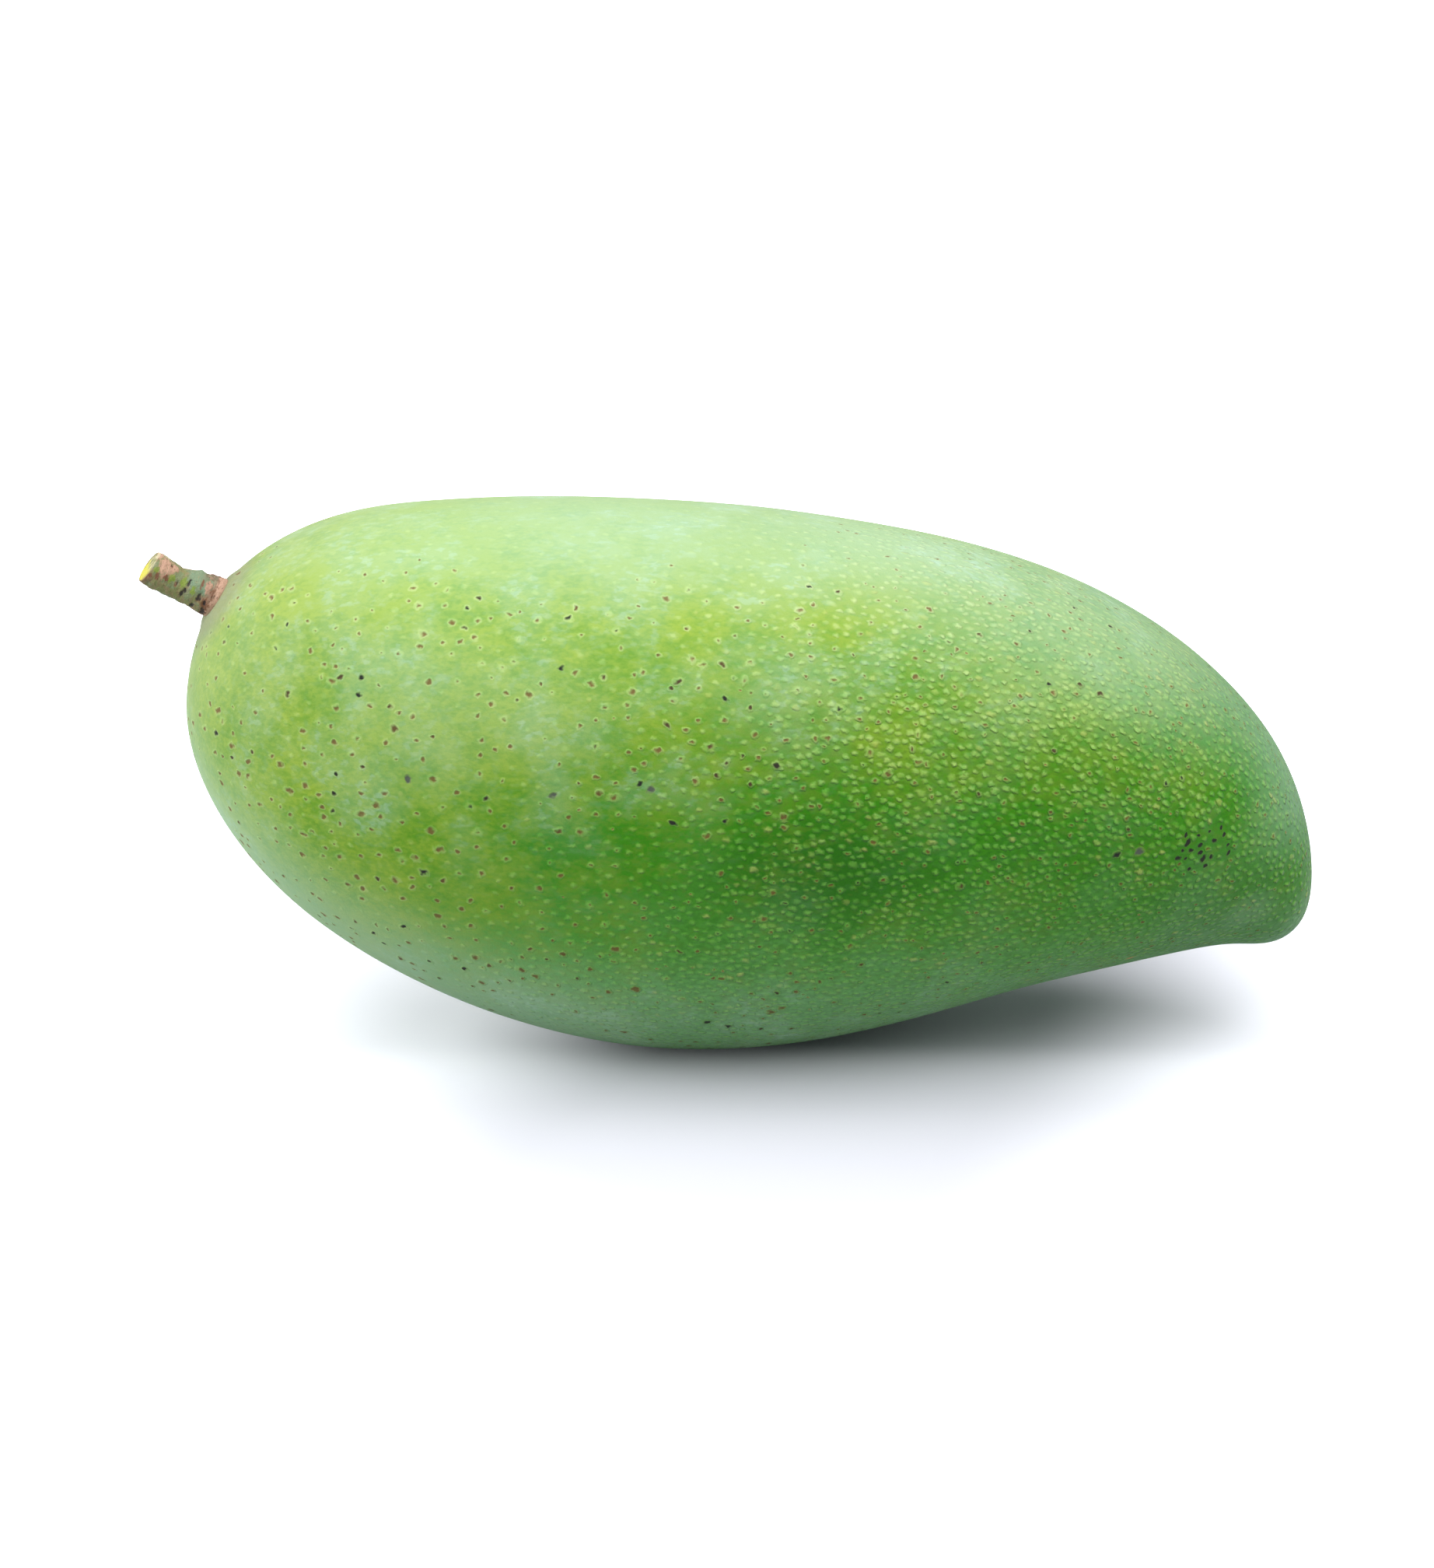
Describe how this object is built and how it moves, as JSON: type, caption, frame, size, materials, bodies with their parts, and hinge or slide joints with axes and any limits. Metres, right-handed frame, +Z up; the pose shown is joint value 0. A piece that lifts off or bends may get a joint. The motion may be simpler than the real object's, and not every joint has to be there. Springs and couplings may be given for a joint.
{
  "type": "green mango",
  "caption": "Whole long green mango with a beaked tip and a short cut stalk stub, lying on a small flat spot on its belly.",
  "frame": {"origin": "on the surface that it rests on, under the middle of the object's box", "axes": "+X along the length from the stalk to the beak, +Y across the cheeks, +Z up from the flat spot through the belly and the back"},
  "size_m": [0.1504, 0.061, 0.0715],
  "materials": {
    "skin": "satin",
    "bark": "matte"
  },
  "bodies": {
    "root": {"fruit": "skin", "stalk": "bark"}
  },
  "joints": []
}
